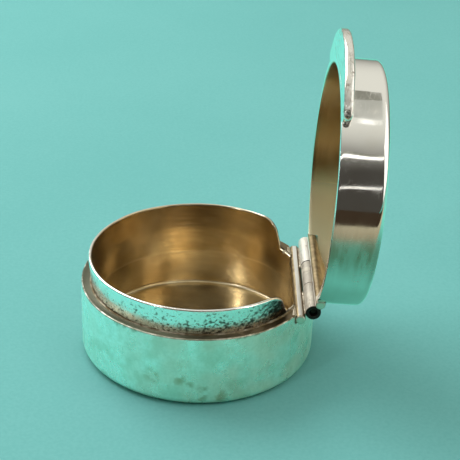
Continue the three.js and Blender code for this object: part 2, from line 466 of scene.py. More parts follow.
def make_root_solder(material):
    """The solder that joins the liner to the shoulder, all the way round."""
    reach = 0.24 + 0.07 * uneven(ROUND_ANGLES, 0, 6)
    deep = SHOULDER - 0.35
    inner = LINER_ROOT - 0.04
    floor = SHOULDER - SHOULDER_HOLLOW
    outline = [(inner, deep)]
    for share in np.linspace(0, 1, 7):
        swing = math.radians(90 * share)
        radius = LINER_ROOT + reach - reach * math.sin(swing)
        outline.append((radius, floor + reach - reach * math.cos(swing)))
    outline.append((inner, floor + reach))
    points, faces = skin(turned(outline), True, True)
    made = new_object("liner_solder", points, faces)
    cut_notch(made, "body")
    return settle_in(made, "body", "grey_silver", material)


# -------- hinge pieces

def rod_rows(section, positions, shrink):
    """Rows of a rod along Y. section is (x, z) points round its middle (0, 0)."""
    rows = []
    for y, scale in zip(positions, shrink):
        rows.append([(x * scale, y, z * scale) for x, z in section])
    return np.array(rows)


def rounded_ends(start, end, rounding, steps):
    """Places from start to end, and the share of the full width there, with a dome at each end."""
    swing = np.radians(np.linspace(0, 90, 9))
    dome = rounding * (1 - np.cos(swing))
    straight = np.linspace(start + rounding, end - rounding, steps)[1:-1]
    places = np.concatenate([start + dome, straight, end - dome[::-1]])
    widths = np.concatenate([np.sin(swing), np.ones(len(straight)), np.sin(swing)[::-1]])
    return places, widths


def make_bearer(name, body, material, node):
    """The wire that edges one half's wall at the hinge, filed flat where the halves meet."""
    side = SIDES[body]
    x, z = hinge_place(BEARER_BACK, BEARER_DROP, body)
    section = []
    for angle in np.linspace(0, WHOLE_TURN, 48, endpoint=False):
        away = max(BEARER_RADIUS * math.sin(angle), CLOSED_GAP / 2 - BEARER_DROP)
        section.append((BEARER_RADIUS * math.cos(angle), side * away))
    places, widths = rounded_ends(-BEARER_HALF_LENGTH, BEARER_HALF_LENGTH, BEARER_DOME, 60)
    rows = rod_rows(section, places, 0.55 + 0.45 * widths)
    first = rows[:1] * [0, 1, 0]
    last = rows[-1:] * [0, 1, 0]
    rows = np.concatenate([first, rows, last])
    points, faces = skin(rows + [x, 0, z], False, True)
    made = new_object(name, hand_made(points, 2.5, 0.02, 3 + side), faces)

    def filed(place, normal):
        return (-side * normal[:, 2] - 0.95) / 0.04

    # Painted shade on the side of the wire that faces the gap beside the barrel.
    def crevice(place, normal):
        return (normal[:, 0] - 0.1) * 1.6

    def wire_end(place, normal):
        return (np.abs(normal[:, 1]) - 0.35) / 0.3

    zones(made, filed=filed, crevice=crevice, wire_end=wire_end)
    return settle_in(made, body, "polished_silver", material, node)


def make_knuckle(name, body, material, node, seed, front_shade, rear_shade):
    """One tube of the hinge barrel, with worn ends darkened by painted shade where the knuckles meet, and
    a bore painted black as shade.
    """
    low, high = corners(node)
    y_min, y_max = low[1], high[1]
    bore = PIN_RADIUS + PIN_CLEARANCE
    edge = 0.09
    shade_reach = 0.12
    outline = [
        *line((bore, y_max - edge), (bore, y_min + edge), 8),
        (bore, y_min + edge),
        (bore + edge, y_min),
        (KNUCKLE_RADIUS - edge, y_min),
        (KNUCKLE_RADIUS - 0.3 * edge, y_min + 0.3 * edge),
        *line((KNUCKLE_RADIUS, y_min + edge), (KNUCKLE_RADIUS, y_max - edge), 60),
        (KNUCKLE_RADIUS, y_max - edge),
        (KNUCKLE_RADIUS - 0.3 * edge, y_max - 0.3 * edge),
        (KNUCKLE_RADIUS - edge, y_max),
        (bore + edge, y_max),
    ]
    rows = turned(outline, np.linspace(0, WHOLE_TURN, 72, endpoint=False))
    rows = np.stack([rows[..., 0], rows[..., 2], -rows[..., 1]], axis=-1)
    points, faces = skin(rows, True, True)
    points = points + [HINGE_X, 0, HINGE_Z]
    made = new_object(name, hand_made(points, 1.8, 0.03, seed), faces)
    if body == "lid":
        made.data.transform(OPENING.inverted())

    # Painted shade: black in the bore, and dark at the ends where the knuckles meet, more at one end than
    # the other.
    def grime(place, normal):
        radius = np.hypot(place[:, 0] - HINGE_X, place[:, 2] - HINGE_Z)
        in_bore = 1 - (radius - bore) / shade_reach
        at_front = front_shade * (1.2 - (place[:, 1] - y_min) / shade_reach)
        at_rear = rear_shade * (1.2 - (y_max - place[:, 1]) / shade_reach)
        return np.maximum(in_bore, np.maximum(at_front, at_rear))

    zones(made, grime=grime)
    return settle_in(made, body, "satin_silver", material, node)


def make_pin(material):
    """The steel pin, with domed ends painted darker than its side, as shade where they show at the
    barrel's ends.
    """
    angles = np.linspace(0, WHOLE_TURN, 40, endpoint=False)
    section = [(PIN_RADIUS * math.cos(a), PIN_RADIUS * math.sin(a)) for a in angles]
    places, widths = rounded_ends(pin_low[1], pin_high[1], PIN_DOME, 30)
    points, faces = skin(rod_rows(section, places, widths) + [HINGE_X, 0, HINGE_Z], False, True)
    made = new_object("steel_hinge_pin", points, faces)
    # Painted shade on the pin's domed ends.
    zones(made, grime=lambda place, normal: np.abs(normal[:, 1]) * 2)
    return settle_in(made, "body", "grey_silver", material, "hinge_pin")


def make_solder(name, body, material, route, size):
    """A lumpy bead of solder along a route, which stays on its own side of the plane where the
    halves meet."""
    side = SIDES[body]
    work = bmesh.new()
    for middle in route:
        lump = size * (1 + LUMPINESS * noise.noise(Vector(middle) * LUMP_FINENESS))
        ball = bmesh.ops.create_icosphere(work, subdivisions=3, radius=lump)
        for vertex in ball["verts"]:
            vertex.co += Vector(middle)
    for vertex in work.verts:
        away = max(side * (vertex.co.z - HINGE_Z), CLOSED_GAP / 2)
        vertex.co.z = HINGE_Z + side * away
    mesh = bpy.data.meshes.new(name)
    work.to_mesh(mesh)
    work.free()
    mesh.transform(Matrix.Scale(MM, 4))
    made = placed(name, mesh)
    modifier = made.modifiers.new("fuse", "REMESH")
    modifier.mode = "VOXEL"
    modifier.voxel_size = SOLDER_GRAIN * MM
    settle(made)
    return settle_in(made, body, "grey_silver", material)


def body_seam(end):
    """The solder at one end of the body's bearer wire and under the liner's cut end. end is -1 in front
    and 1 at the back."""
    wire_back = BEARER_BACK + HINGE_X - BEARER_RADIUS
    top = SHOULDER - 0.16
    along_wire = line((wire_back - 0.12, end * 9.7, top - 0.1), (wire_back - 0.1, end * 7.4, top), 14)
    under_liner = line((wire_back - 0.75, end * 8.3, top), (wire_back - 0.1, end * 7.6, top), 6)
    return along_wire + under_liner


def barrel_seam(start, end):
    """The solder between the body's bearer wire and a knuckle, between two places along the hinge."""
    x = BEARER_BACK + HINGE_X + BEARER_RADIUS - 0.06
    z = HINGE_Z - BEARER_DROP + 0.32
    return line((x, start, z), (x, end, z), 30)


def lid_seam():
    """The curve where the inside of the lid's wall meets its hinge plate."""
    inside = LID_RADIUS - LID_WALL
    route = []
    for y in np.linspace(-LID_SEAM_END, LID_SEAM_END, 60):
        along = math.sqrt(inside ** 2 - y ** 2) - HINGE_X
        inner_face = -PLATE_THICKNESS / 2
        down_slope = (along - on_plate(0, inner_face)[0]) / math.cos(PLATE_SLOPE)
        along, away = on_plate(down_slope, inner_face)
        x, z = hinge_place(along, away, "lid")
        route.append((x, y, z))
    return route


def make_plate(name, body, radius, material, node):
    """The sloping plate that closes one half's wall behind the hinge."""
    start = BEARER_RADIUS + SEAM
    half = PLATE_THICKNESS / 2
    across = np.sin(np.radians(np.linspace(-90, 90, 41)))
    rows = []
    for share in [0, *np.sin(np.radians(np.linspace(0, 90, 17)))]:
        loop = []
        first_row = not rows
        for stand_off, steps in ((half, across), (-half, across[::-1])):
            off = 0 if first_row else stand_off
            tip = (radius - HINGE_X - on_plate(0, off)[0]) / math.cos(PLATE_SLOPE)
            x, z = hinge_place(*on_plate(start + (tip - start) * share, off), body)
            reach = math.sqrt(max(radius ** 2 - x ** 2, 0))
            loop += [(x, reach * step, z) for step in steps]
        rows.append(loop)
    points, faces = skin(np.array(rows), False, True)
    made = new_object(name, hand_made(points, 3.0, 0.03, 6 + SIDES[body]), faces)
    return settle_in(made, body, "gilt_silver" if body == "lid" else "grey_silver", material, node)


# -------- lid

def lid_outline():
    """The lid's section, from the middle of its ceiling inside round to the middle of its top."""
    inside = LID_RADIUS - LID_WALL
    ceiling = LID_TOP - LID_TOP_THICKNESS
    return [
        *line((0, ceiling), (inside - LID_FILLET - CLEARLY_OFF, ceiling), 14),
        *arc(inside - LID_FILLET, ceiling - LID_FILLET, LID_FILLET, 90, 0, 7),
        *line((inside, ceiling - LID_FILLET - 0.4), (inside, LID_MOUTH + LID_EDGE), 10),
        *arc(inside + LID_EDGE, LID_MOUTH + LID_EDGE, LID_EDGE, 180, 270, 4),
        *arc(LID_RADIUS - LID_EDGE, LID_MOUTH + LID_EDGE, LID_EDGE, -90, 0, 4),
        *line((LID_RADIUS, LID_MOUTH + LID_EDGE + JUST_OFF), (LID_RADIUS, LID_TOP - LID_CORNER), 14),
        *arc(LID_RADIUS - LID_CORNER, LID_TOP - LID_CORNER, LID_CORNER, 0, 90, 14),
        *line((LID_RADIUS - LID_CORNER - CLEARLY_OFF, LID_TOP), (0, LID_TOP), 16),
        (0, LID_TOP),
    ]


def make_lid(material):
    """The pressed lid, gilt inside, with a side wall that can be duller than its top, partly with painted
    shade.
    """
    points, faces = skin(turned(lid_outline()), False, True)
    points = hand_made(hand_made(points, 7.0, 0.035, 4), 3.0, 0.016, 5)
    made = new_object("silver_lid", points, faces)
    cut_notch(made, "lid")

    def gilt(place, normal):
        inward = (LID_RADIUS - LID_WALL + LID_EDGE - from_axis(place)) / LID_EDGE * 0.5 + 0.5
        return np.where(place[:, 2] < LID_TOP - LID_TOP_THICKNESS / 2, inward, 0)

    def wall(place, normal):
        return 2 * (from_axis(place) - LID_RADIUS + LID_CORNER) / LID_CORNER

    zones(made, gilt=gilt, wall=wall)
    return settle_in(made, "lid", "polished_silver", material, "lid_shell")


def tab_section(reach, half, rounding):
    """Distance and height points of the crescent's section, from its root round its full outer edge."""
    root = LID_RADIUS - 0.1
    high_rounding = min(rounding, half)
    flat = half - high_rounding
    edge = []
    for turn in np.radians(np.linspace(-90, 90, 16)):
        height = flat * np.sign(turn) + high_rounding * math.sin(turn)
        edge.append((reach - rounding + rounding * math.cos(turn), height))
    return [
        *line((root, -half), (reach - rounding, -half), 8),
        *edge,
        *line((reach - rounding - 0.1, half), (root, half), 8),
        (root, half),
    ]


def make_tab(material):
    """The crescent that the lid is lifted by: flat faces, a full rounded edge and blunt ends."""
    tab_radius = TAB_REACH - TAB_CENTRE
    middle = (tab_low[2] + tab_high[2]) / 2
    end_share = TAB_THICKNESS / 2 / (LID_RADIUS * TAB_END)
    rows = []
    for share, width in zip(*rounded_ends(-1, 1, end_share, 121)):
        angle = TAB_END * share
        across = TAB_CENTRE * math.sin(angle)
        reach = TAB_CENTRE * math.cos(angle) + math.sqrt(tab_radius ** 2 - across ** 2)
        reach -= TAB_ROUNDING * (1 - width)
        half = TAB_THICKNESS / 2 * (0.12 + 0.88 * width)
        section = tab_section(reach, half, TAB_ROUNDING)
        rows.append([(-r * math.cos(angle), r * math.sin(angle), middle + z) for r, z in section])
    rows = np.array(rows)
    first = rows[:1].mean(axis=1, keepdims=True) + 0 * rows[:1]
    last = rows[-1:].mean(axis=1, keepdims=True) + 0 * rows[-1:]
    points, faces = skin(np.concatenate([first, rows, last]), False, True)
    points = hand_made(hand_made(points, 3.0, 0.04, 8), 1.1, 0.014, 9)
    made = new_object("thumb_crescent", points, faces)
    return settle_in(made, "lid", "polished_silver", material, "thumb_tab")


# -------- materials

def add(tree, kind, inputs, **settings):
    """A node. An input that is a socket is linked, and any other is set."""
    node = tree.nodes.new(kind)
    for key, value in settings.items():
        setattr(node, key, value)
    for key, value in inputs.items():
        if isinstance(value, bpy.types.NodeSocket):
            tree.links.new(value, node.inputs[key])
        else:
            node.inputs[key].default_value = value
    return node


def follow(kind, inputs, **settings):
    """A node in the tree that its linked inputs come from."""
    linked = [value for value in inputs.values() if isinstance(value, bpy.types.NodeSocket)]
    return add(linked[0].id_data, kind, inputs, **settings)


def calculate(operation, first, second=0.0):
    """Simple arithmetic on values that vary over a surface, or on one of them and a number."""
    return follow("ShaderNodeMath", {0: first, 1: second}, operation=operation).outputs[0]


def times(first, second):
    """The product of two values, the first of which varies over a surface."""
    return calculate("MULTIPLY", first, second)


def plus_shares(base, *extras):
    """A value with shares of others added to it, each given as (value, share)."""
    for extra, share in extras:
        base = calculate("ADD", base, times(extra, share))
    return base


def eased(value, low, high, out_low=0.0, out_high=1.0):
    """A value that goes smoothly from out_low to out_high as another goes from low to high."""
    inputs = {"Value": value, "From Min": low, "From Max": high, "To Min": out_low, "To Max": out_high}
    return follow("ShaderNodeMapRange", inputs, interpolation_type="SMOOTHSTEP").outputs[0]


def blended(amount, first, second):
    """The first colour where amount is 0 and the second where it is 1."""
    first, second = [c if isinstance(c, bpy.types.NodeSocket) else (*c, 1) for c in (first, second)]
    return follow("ShaderNodeMix", {0: amount, 6: first, 7: second}, data_type="RGBA").outputs[2]


def layered(base, *layers):
    """A colour with others laid over it in turn, each given as (amount, colour)."""
    for amount, colour in layers:
        base = blended(amount, base, colour)
    return base


def painted(place, name):
    """A value that the mesh carries at its vertices, under the name of its zone."""
    return add(place.id_data, "ShaderNodeAttribute", {}, attribute_name=name).outputs["Fac"]


def cloud(place, size, seed, detail=4.0, stretch=(1, 1, 1), turn=(0, 0, 0)):
    """Soft noise with patches of about that size in millimetres."""
    inputs = {
        "Vector": place,
        "Location": (seed * 7.7, seed * 3.1, seed * 5.3),
        "Rotation": turn,
        "Scale": tuple(1 / (size * part) for part in stretch),
    }
    moved = follow("ShaderNodeMapping", inputs).outputs[0]
    return follow("ShaderNodeTexNoise", {"Vector": moved, "Scale": 1.0, "Detail": detail}).outputs[0]


SCRATCH_TURNS = ((0.3, 0.2, 0.5), (1.1, 0.5, 2.0), (2.2, 1.3, 0.9))


def scratches(place, seed, size=1.6, length=14, width=0.012):
    """Fine lines in three directions, 1 in a scratch and 0 between."""
    found = None
    for number, turn in enumerate(SCRATCH_TURNS):
        noise_value = cloud(place, size, seed + number * 1.7, 1.0, (1, length, 1), turn)
        off = calculate("ABSOLUTE", calculate("SUBTRACT", noise_value, 0.5))
        lines = eased(off, 0.0, width, 1.0, 0.0)
        found = lines if found is None else calculate("MAXIMUM", found, lines)
    worn = eased(cloud(place, 5.0, seed + 9), 0.42, 0.62)
    return times(found, worn)


def new_material(name):
    """A material and its node tree, with no nodes in it yet."""
    material = bpy.data.materials.new(name)
    material.use_nodes = True
    material.node_tree.nodes.clear()
    return material, material.node_tree


def new_surface(name):
    """A material, and the place on its piece in millimetres."""
    material, tree = new_material(name)
    place = add(tree, "ShaderNodeTexCoord", {}).outputs["Object"]
    scaled = follow("ShaderNodeVectorMath", {0: place, "Scale": 1 / MM}, operation="SCALE")
    return material, scaled.outputs[0]


def spot(place, centre, size):
    """1 at a point of the box, easing to 0 at a distance from it in millimetres."""
    away = follow("ShaderNodeVectorMath", {0: place, 1: centre}, operation="DISTANCE").outputs["Value"]
    return eased(away, 0.0, size, 1.0, 0.0)


def faded(place, axis, start, end, at_start=0.0, at_end=1.0):
    """A value that goes from at_start to at_end as one coordinate goes from start to end."""
    coordinate = follow("ShaderNodeSeparateXYZ", {0: place}).outputs[axis]
    return eased(coordinate, start, end, at_start, at_end)


def bumped(height, depth, strength=1.0):
    """The normal of a surface that is uneven by about that depth in millimetres."""
    inputs = {"Height": height, "Strength": strength, "Distance": depth * MM}
    return follow("ShaderNodeBump", inputs).outputs[0]


def surface(inputs):
    """Ends a material with a shader that has these inputs."""
    shader = follow("ShaderNodeBsdfPrincipled", inputs).outputs[0]
    follow("ShaderNodeOutputMaterial", {"Surface": shader})


def metal(colour, roughness, height, depth, metallic=1.0):
    """Ends a material as metal with a colour, a roughness and an unevenness that vary."""
    normal = bumped(height, depth)
    surface({"Base Color": colour, "Metallic": metallic, "Roughness": roughness, "Normal": normal})


# Colours of the metals, of what lies on them, of their wear, and of painted shade and light.
SILVER = (0.93, 0.92, 0.885)
WARM_SILVER = (0.82, 0.77, 0.64)
DULL_SILVER = (0.62, 0.62, 0.52)
SMUDGE = (0.50, 0.52, 0.40)
# A dull film that is partly painted shade.
DULL_FILM_AND_SHADE = (0.31, 0.255, 0.185)
HANDLED_SILVER = (0.90, 0.88, 0.84)
FROSTED_SILVER = (0.86, 0.84, 0.77)
WORN_SILVER = (0.51, 0.47, 0.40)
SOLDER_GREY = (0.46, 0.41, 0.31)
STAIN = (0.35, 0.28, 0.14)
# Tarnish, which the bearer wire also uses as painted shade.
TARNISH_AND_SHADE = (0.19, 0.13, 0.075)
LEDGE_DARK = (0.125, 0.13, 0.095)
LEDGE_GREY = (0.33, 0.345, 0.25)
LEDGE_BROWN = (0.145, 0.11, 0.06)
BLACK = (0.022, 0.017, 0.013)
GILT = (0.80, 0.69, 0.48)
BROWN_GILT = (0.56, 0.445, 0.265)
DARK_GILT = (0.26, 0.195, 0.11)
HEATED_GILT = (0.45, 0.36, 0.21)
# Gilt in painted shade.
SHADED_GILT = (0.27, 0.185, 0.085)
PALE_GILT = (0.84, 0.77, 0.60)
# Paler rubbed gilt, used partly as painted light.
RUBBED_LIT_GILT = (0.88, 0.83, 0.62)

# Where marks and painted shade are on the box, and how far they reach.
FRONT_STAINS = [
    ((0.9, -17, 1.7), 1.7),
    ((1.0, -17, 2.9), 1.5),
    ((-2.1, -17, 4.2), 1.7),
    ((-0.8, -17, 3.6), 1.2),
    ((3.4, -16.6, 1.4), 2.2),
    ((-6.0, -16, 4.3), 2.0),
]
SHOULDER_CLOUD = ((10.5, -13.5, 9.5), 6)
# A broad stain over the front, partly painted shade.
FRONT_STAIN_AND_SHADE = ((-1.5, -17, 3.0), 13)
# A patch of painted shade high on the far wall inside.
WALL_SHADE = ((-1.0, 15, 12.6), 8)
LINER_PATCH = ((2.4, -15.7, 12.7), 2.6)


def gilt_colour(place):
    """Old gilding: soft brown clouds, fine brushing round the wall, paler worn parts, a few pits, and a
    patch of painted shade high on the far wall.
    """
    cloudy = eased(cloud(place, 6.0, 3, 2.0), 0.35, 0.65)
    worn = eased(cloud(place, 7.0, 8, 2.0), 0.5, 0.75, 0.0, 0.5)
    brushing = eased(cloud(place, 0.3, 15, 3.0, (14, 14, 1)), 0.35, 0.65, 0.0, 0.3)
    pits = eased(cloud(place, 0.7, 5, 1.0), 0.8, 0.84, 0.0, 0.7)
    # Painted shade in dark gilt, high on the far wall.
    shade_patch = times(spot(place, *WALL_SHADE), eased(brushing, 0.0, 0.3, 0.6, 0.8))
    uneven_gilt = [(cloudy, BROWN_GILT), (worn, PALE_GILT), (brushing, BROWN_GILT)]
    return layered(GILT, *uneven_gilt, (shade_patch, DARK_GILT), (pits, TARNISH_AND_SHADE))


def gilt_roughness(place):
    """Old gilding that still shows soft reflections."""
    return eased(cloud(place, 5.0, 9, 2.0), 0.3, 0.7, 0.2, 0.27)


def cup_material():
    """Satin silver with a thin film, stains low on the front, a broad stain over the front that is partly
    painted shade, and a dirty ledge, and gilt inside.
    """
    material, place = new_surface("satin_silver")
    lines = scratches(place, 1, 1.1, 16, 0.005)
    film = eased(cloud(place, 4.0, 2, 4.0), 0.35, 0.65, 0.1, 0.7)
    film = times(film, faded(place, "X", -14, -2, 0.3, 1.0))
    mottle = eased(cloud(place, 1.1, 12, 8.0, (1, 1, 1.4)), 0.38, 0.66, 0.0, 0.34)
    grain = eased(cloud(place, 0.4, 14, 5.0), 0.38, 0.66, 0.0, 0.3)
    smudged = eased(cloud(place, 3.4, 17, 6.0), 0.5, 0.68, 0.0, 0.4)
    brushing = eased(cloud(place, 0.2, 13, 4.0, (9, 9, 1)), 0.35, 0.65, 0.0, 0.24)
    broken = eased(cloud(place, 1.3, 4, 7.0), 0.35, 0.6)
    # The broad patch over the front is partly stain and partly painted shade.
    stains_and_shade = plus_shares(times(spot(place, *FRONT_STAIN_AND_SHADE), 0.2), (spot(place, *SHOULDER_CLOUD), 0.2))
    for stain in FRONT_STAINS:
        stains_and_shade = calculate("MAXIMUM", stains_and_shade, times(spot(place, *stain), broken))
    ledge = painted(place, "ledge")
    patchy = cloud(place, 0.8, 6, 5.0)
    dirty = eased(plus_shares(ledge, (patchy, 0.6)), 0.4, 0.75)
    black = eased(plus_shares(ledge, (patchy, 0.5)), 1.4, 1.9, 0.0, 0.65)
    dirt = blended(faded(place, "X", -15, -10), LEDGE_DARK, LEDGE_GREY)
    dirt = blended(faded(place, "X", -5, 8), dirt, LEDGE_BROWN)
    gilt = painted(place, "gilt")
    dulled = [(film, WARM_SILVER), (mottle, DULL_SILVER), (grain, DULL_SILVER), (smudged, SMUDGE)]
    marked = [(brushing, WARM_SILVER), (times(stains_and_shade, 0.7), STAIN), (dirty, dirt), (black, BLACK)]
    colour = layered(SILVER, *dulled, *marked, (gilt, gilt_colour(place)))
    rough = eased(cloud(place, 3.0, 7, 5.0), 0.3, 0.7, 0.24, 0.36)
    rough = plus_shares(rough, (lines, 0.06), (dirty, 0.15))
    rough = eased(gilt, 0.0, 1.0, rough, gilt_roughness(place))
    bumps = plus_shares(cloud(place, 1.2, 11, 3.0), (lines, -0.04))
    bumps = times(bumps, eased(gilt, 0.0, 1.0, 1.0, 0.25))
    milky = times(film, eased(gilt, 0.0, 1.0, 1.0, 0.0))
    metal(colour, rough, bumps, 0.018, eased(milky, 0.0, 0.7, 1.0, 0.79))
    return material


def liner_material():
    """Gilt inside. Outside, silver with dark specks, more of them low down and towards the hinge. A
    painted highlight runs along the lower edge.
    """
    material, place = new_surface("gilt_silver")
    lines = scratches(place, 21)
    gilt = eased(painted(place, "gilt"), 0.35, 0.65)
    rim = eased(painted(place, "rim"), 0.15, 0.6)
    speckle = cloud(place, 0.36, 22, 8.0, (1.3, 1.3, 1))
    patch = cloud(place, 1.8, 23, 3.0)
    near_hinge = painted(place, "hinge_end")
    low_down = (painted(place, "root"), 0.16)
    dirt = plus_shares(speckle, (patch, 0.45), low_down, (near_hinge, 0.07))
    dirt = plus_shares(dirt, (spot(place, *LINER_PATCH), 0.11))
    dark_end = eased(plus_shares(near_hinge, (speckle, 0.3)), 0.92, 1.08)
    black = calculate("MAXIMUM", eased(dirt, 0.9, 1.06, 0.0, 0.8), dark_end)
    brown = eased(dirt, 0.82, 1.0, 0.0, 0.55)
    bare = times(rim, eased(patch, 0.3, 0.55, 0.35, 1.0))
    bare = times(bare, faded(place, "Y", -4, 8, 1.0, 0.2))
    outside = [(times(patch, 0.2), WARM_SILVER), (brown, TARNISH_AND_SHADE), (black, BLACK)]
    # Pale gilt along the lower edge is a painted highlight.
    edges = [(bare, SILVER), (painted(place, "lower_edge"), PALE_GILT)]
    colour = layered(SILVER, *outside, (gilt, gilt_colour(place)), *edges)
    rough = plus_shares(eased(patch, 0.3, 0.7, 0.22, 0.32), (brown, 0.15))
    rough = eased(gilt, 0.0, 1.0, rough, gilt_roughness(place))
    rough = calculate("SUBTRACT", rough, times(rim, 0.1))
    bumps = plus_shares(cloud(place, 1.0, 25, 3.0), (lines, -0.25))
    bumps = times(bumps, eased(gilt, 0.0, 1.0, 1.0, 0.25))
    metal(colour, rough, bumps, 0.018)
    return material


def lid_material():
    """Polished silver, dull and streaked round the wall near the hinge, partly as painted shade, and gilt
    inside, with painted shade on the wall away from the hinge and paler gilding near it that is partly
    painted light.
    """
    material, place = new_surface("polished_silver")
    lines = scratches(place, 41, 1.2, 18, 0.004)
    gilt = eased(painted(place, "gilt"), 0.35, 0.65)
    near_hinge = faded(place, "X", -3.5, 2.0)
    bottom = faded(place, "X", 2.5, 8.5, 1.0, 0.25)
    streaks = eased(cloud(place, 0.9, 46, 5.0, (5, 5, 1)), 0.35, 0.65)
    # A dull streaked film round the wall near the hinge, partly painted shade.
    film = times(near_hinge, eased(streaks, 0.0, 1.0, 0.84, 1.0))
    film = times(film, bottom)
    film = times(film, painted(place, "wall"))
    smudge = eased(cloud(place, 5.0, 42, 4.0), 0.45, 0.75, 0.0, 0.25)
    ceiling = faded(place, "Z", LID_TOP - 1.8, LID_TOP - 0.7)
    beside = calculate("SUBTRACT", 1.0, ceiling)
    # Paler gilt near the hinge, partly rubbed and partly painted light.
    rubbed_and_lit = times(beside, faded(place, "X", 4.5, 9.0, 0.0, 0.85))
    # Painted shade on the gilt wall inside the lid, away from the hinge.
    shade_on_gilt = eased(cloud(place, 4.0, 47, 2.0), 0.3, 0.7, 0.75, 1.0)
    shade_on_gilt = times(shade_on_gilt, faded(place, "X", 4.0, 8.0, 1.0, 0.0))
    shade_on_gilt = times(shade_on_gilt, faded(place, "X", -9.0, -2.0, 0.3, 1.0))
    shade_on_gilt = times(shade_on_gilt, beside)
    inside = layered(gilt_colour(place), (shade_on_gilt, SHADED_GILT), (rubbed_and_lit, RUBBED_LIT_GILT))
    colour = layered(SILVER, (smudge, WARM_SILVER), (film, DULL_FILM_AND_SHADE), (gilt, inside))
    rough = eased(cloud(place, 3.5, 43, 5.0), 0.3, 0.75, 0.035, 0.13)
    rough = plus_shares(rough, (lines, 0.12), (film, 0.22))
    rough = eased(gilt, 0.0, 1.0, rough, eased(ceiling, 0.0, 1.0, 0.27, 0.34))
    bumps = plus_shares(cloud(place, 2.8, 44, 0.0), (lines, -0.02))
    bumps = times(bumps, eased(gilt, 0.0, 1.0, 1.0, 0.3))
    matt = times(calculate("MAXIMUM", rubbed_and_lit, ceiling), gilt)
    metal(colour, rough, bumps, 0.019, eased(matt, 0.0, 0.9, 1.0, 0.65))
    return material


def fitting_material(name, base, dirt_amount, roughness, seed, metallic=1.0):
    """Small silver, steel or soldered parts, with a film, fine scratches, patches of dirt, and black
    painted shade where a piece carries it.
    """
    material, place = new_surface(name)
    lines = scratches(place, seed, 0.9, 9, 0.02)
    film = eased(cloud(place, 1.8, seed + 2, 5.0), 0.4, 0.7, 0.0, 0.5)
    dirt = eased(cloud(place, 0.8, seed + 3, 6.0), 0.6, 0.74, 0.0, dirt_amount)
    # Black painted shade, from the zone that the barrel's knuckles and the pin carry.
    grime = eased(plus_shares(painted(place, "grime"), (film, 0.2)), 0.3, 0.75)
    tarnished = [(dirt, TARNISH_AND_SHADE), (times(lines, 0.4), TARNISH_AND_SHADE)]
    colour = layered(base, (film, WARM_SILVER), *tarnished, (grime, BLACK))
    rough = eased(cloud(place, 1.4, seed + 4, 5.0), 0.3, 0.7, roughness, roughness * 1.4)
    rough = plus_shares(rough, (lines, 0.15))
    bumps = plus_shares(cloud(place, 0.8, seed + 5, 3.0), (lines, -0.4))
    metal(colour, rough, bumps, 0.02, metallic)
    return material


def bearer_material():
    """Gilt wire, bare and bright where it is filed flat, with painted shade, dark then black, on its side
    in the gap beside the barrel.
    """
    material, place = new_surface("filed_wire")
    patch = cloud(place, 0.9, 64, 4.0)
    bright = eased(painted(place, "filed"), 0.2, 0.7)
    # Painted shade in the gap beside the barrel, tarnish-dark and then black.
    black = plus_shares(painted(place, "crevice"), (patch, 0.4))
    dark = [(eased(black, 0.4, 0.8), TARNISH_AND_SHADE), (eased(black, 1.0, 1.4), BLACK)]
    bare = [(painted(place, "wire_end"), DULL_SILVER), (bright, SILVER)]
    colour = layered(HEATED_GILT, (eased(patch, 0.3, 0.7), DARK_GILT), *dark, *bare)
    rough = eased(bright, 0.0, 1.0, 0.46, 0.3)
    metal(colour, rough, patch, 0.007)
    return material


def gilt_fitting_material():
    """The lid's sloping plate and its solder: gilding browned by heat, with a coarse surface."""
    material, place = new_surface("gilt_plate")
    rough = eased(cloud(place, 1.4, 61, 5.0), 0.3, 0.7, 0.46, 0.56)
    browned = eased(cloud(place, 1.2, 63, 5.0), 0.35, 0.7, 0.5, 1.0)
    colour = blended(browned, gilt_colour(place), HEATED_GILT)
    metal(colour, rough, cloud(place, 0.9, 62, 4.0), 0.015)
    return material


def floor_material():
    """Plain paper with a fine grain."""
    material, place = new_surface("floor_paper")
    grain = cloud(place, 0.5, 71, 6.0)
    soft = cloud(place, 40.0, 72, 3.0)
    shade = plus_shares(times(grain, 0.6), (soft, 0.4))
    colour = blended(eased(shade, 0.3, 0.7), FLOOR_COLOUR, FLOOR_PALER)
    surface({"Base Color": colour, "Roughness": FLOOR_ROUGHNESS, "Normal": bumped(grain, 0.05, 0.3)})
    return material


def mirrored_floor_material():
    """The deeper colour that the silver shows of the floor, brighter on the window's side."""
    material, place = new_surface("mirrored_paper")
    colour = blended(faded(place, "X", -40, 35), MIRRORED_BRIGHT, MIRRORED_DEEP)
    surface({"Base Color": colour, "Roughness": FLOOR_ROUGHNESS})
    return material


# -------- studio

FLOOR_COLOUR = (0.15, 0.49, 0.475)
FLOOR_PALER = (0.18, 0.53, 0.515)
MIRRORED_BRIGHT = (0.19, 0.80, 0.75)
MIRRORED_DEEP = (0.165, 0.72, 0.62)
FLOOR_ROUGHNESS = 0.85
FLOOR_HALF_WIDTH = 1500
FLOOR_DROP = 0.02
MIRRORED_DROP = 0.01

CAMERA_AZIMUTH = math.radians(-1.24)
CAMERA_ELEVATION = math.radians(28.0)
CAMERA_ROLL = math.radians(2.28)
CAMERA_DISTANCE = 190.5
CAMERA_LENS = 99.62
AIM_RIGHT = 4.93
AIM_UP = 16.41

# Cards that only reflections show stand in for what surrounds the box.
CARD_DISTANCE = 600
CARD_MIDDLE = (HINGE_X, 0, 25)
# Azimuth and elevation seen from the box, width and height, in degrees, and colour.
UPRIGHT_CARDS = [
    ("upper_strip", 12, 46, 24, 2.6, (1.68, 1.66, 1.58)),
    ("upper_strip_shade", 12, 48.4, 24, 2.0, (0.25, 0.25, 0.2)),
    ("lower_strip", 12, 19.2, 24, 2.2, (1.12, 1.09, 1.02)),
    ("side_card", 74, 32, 56, 62, (1.3, 1.28, 1.2)),
]
